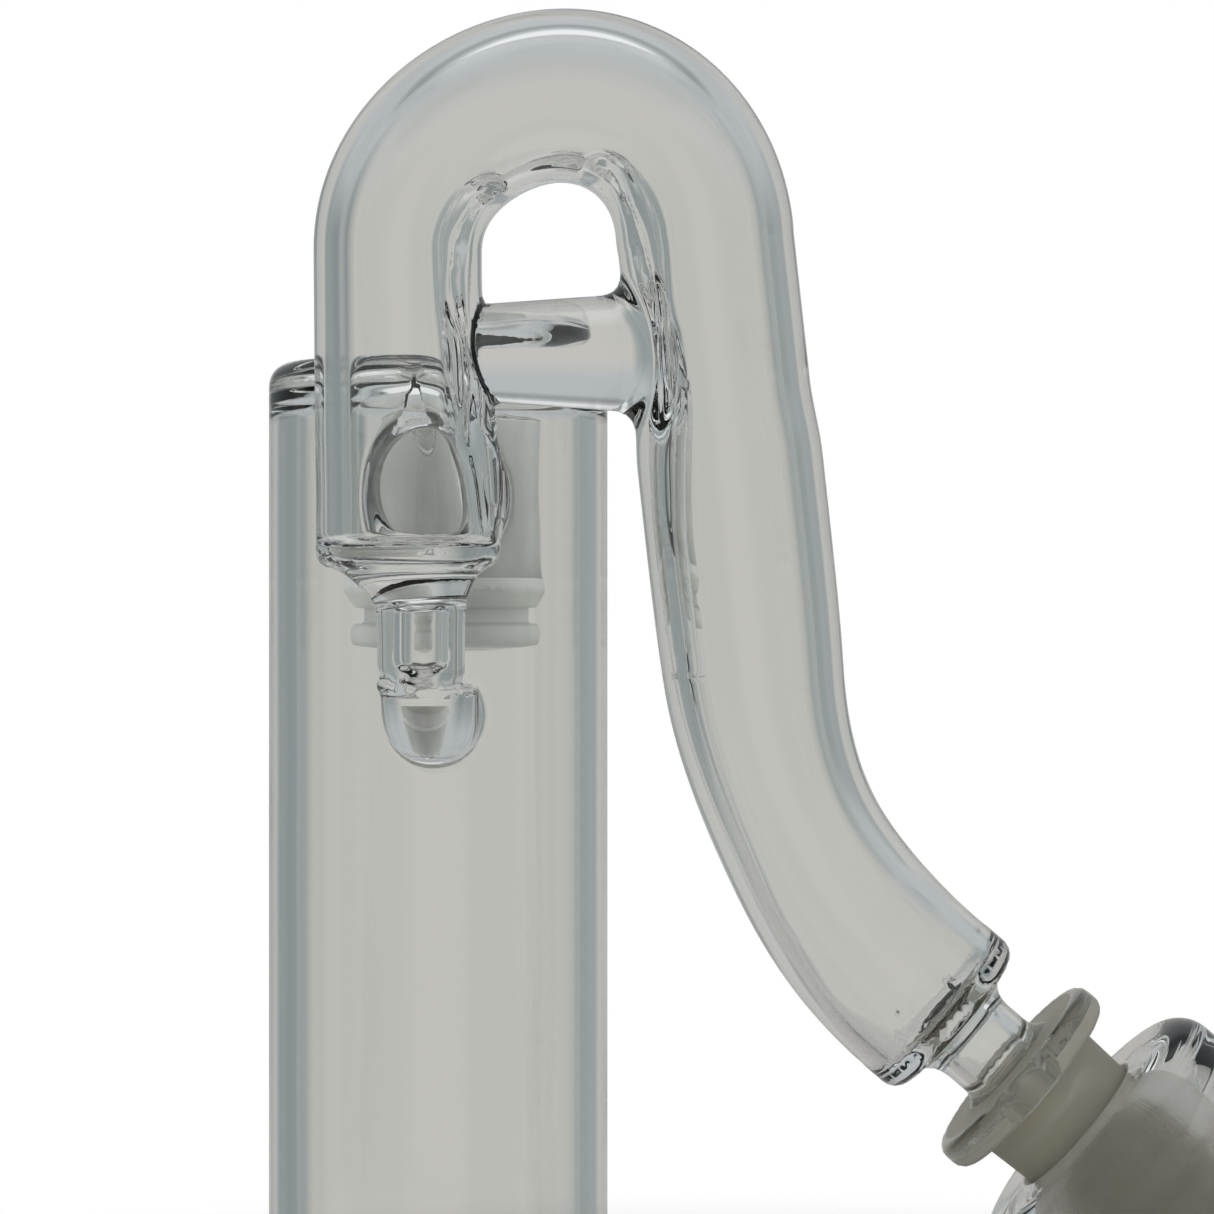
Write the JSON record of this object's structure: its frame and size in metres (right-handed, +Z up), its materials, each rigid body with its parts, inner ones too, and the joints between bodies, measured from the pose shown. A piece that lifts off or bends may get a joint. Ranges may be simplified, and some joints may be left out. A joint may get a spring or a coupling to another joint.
{
  "type": "s bend airlock",
  "caption": "Blown glass airlock: S-bent inlet tube beside a tall open chamber, with a ground cone in its vessel socket and a rear catch cup.",
  "frame": {"origin": "centre of the free end of the vessel socket's stem", "axes": "+Z up along the chamber; +X from the chamber towards the vessel socket; +Y from the bent tube back through the chamber to the catch cup"},
  "size_m": [0.1192, 0.0898, 0.1424],
  "materials": {
    "clear_glass": "polished",
    "ground_glass": "ground"
  },
  "bodies": {
    "socket": {"vessel_socket": "ground_glass", "socket_shoulder": "clear_glass", "socket_stem": "clear_glass"},
    "airlock": {"chamber_tube": "clear_glass", "chamber_top": "clear_glass", "port_collar": "clear_glass", "inlet_leg": "clear_glass", "leg_end": "clear_glass", "u_bend": "clear_glass", "outlet_leg": "clear_glass", "outlet_bend": "clear_glass", "outlet_shoulder": "clear_glass", "brace_rod": "clear_glass", "sump_tube": "clear_glass", "sump_bulb": "clear_glass", "sump_stub": "clear_glass", "cone_neck": "clear_glass", "cone_flange": "clear_glass", "ground_cone": "ground_glass", "rear_arm": "clear_glass", "rear_socket": "ground_glass", "rear_lip": "ground_glass"},
    "cup": {"cup_cone": "ground_glass", "cup_flange": "ground_glass", "cup_bottom": "clear_glass"}
  },
  "joints": [
    {"name": "cone_pull", "type": "slide", "parent": "socket", "child": "airlock", "axis": [-0.7604, 0, 0.6494], "range_m": [0, 0.035]},
    {"name": "cup_pull", "type": "slide", "parent": "airlock", "child": "cup", "axis": [0, 0, -1], "range_m": [0, 0.03]}
  ]
}
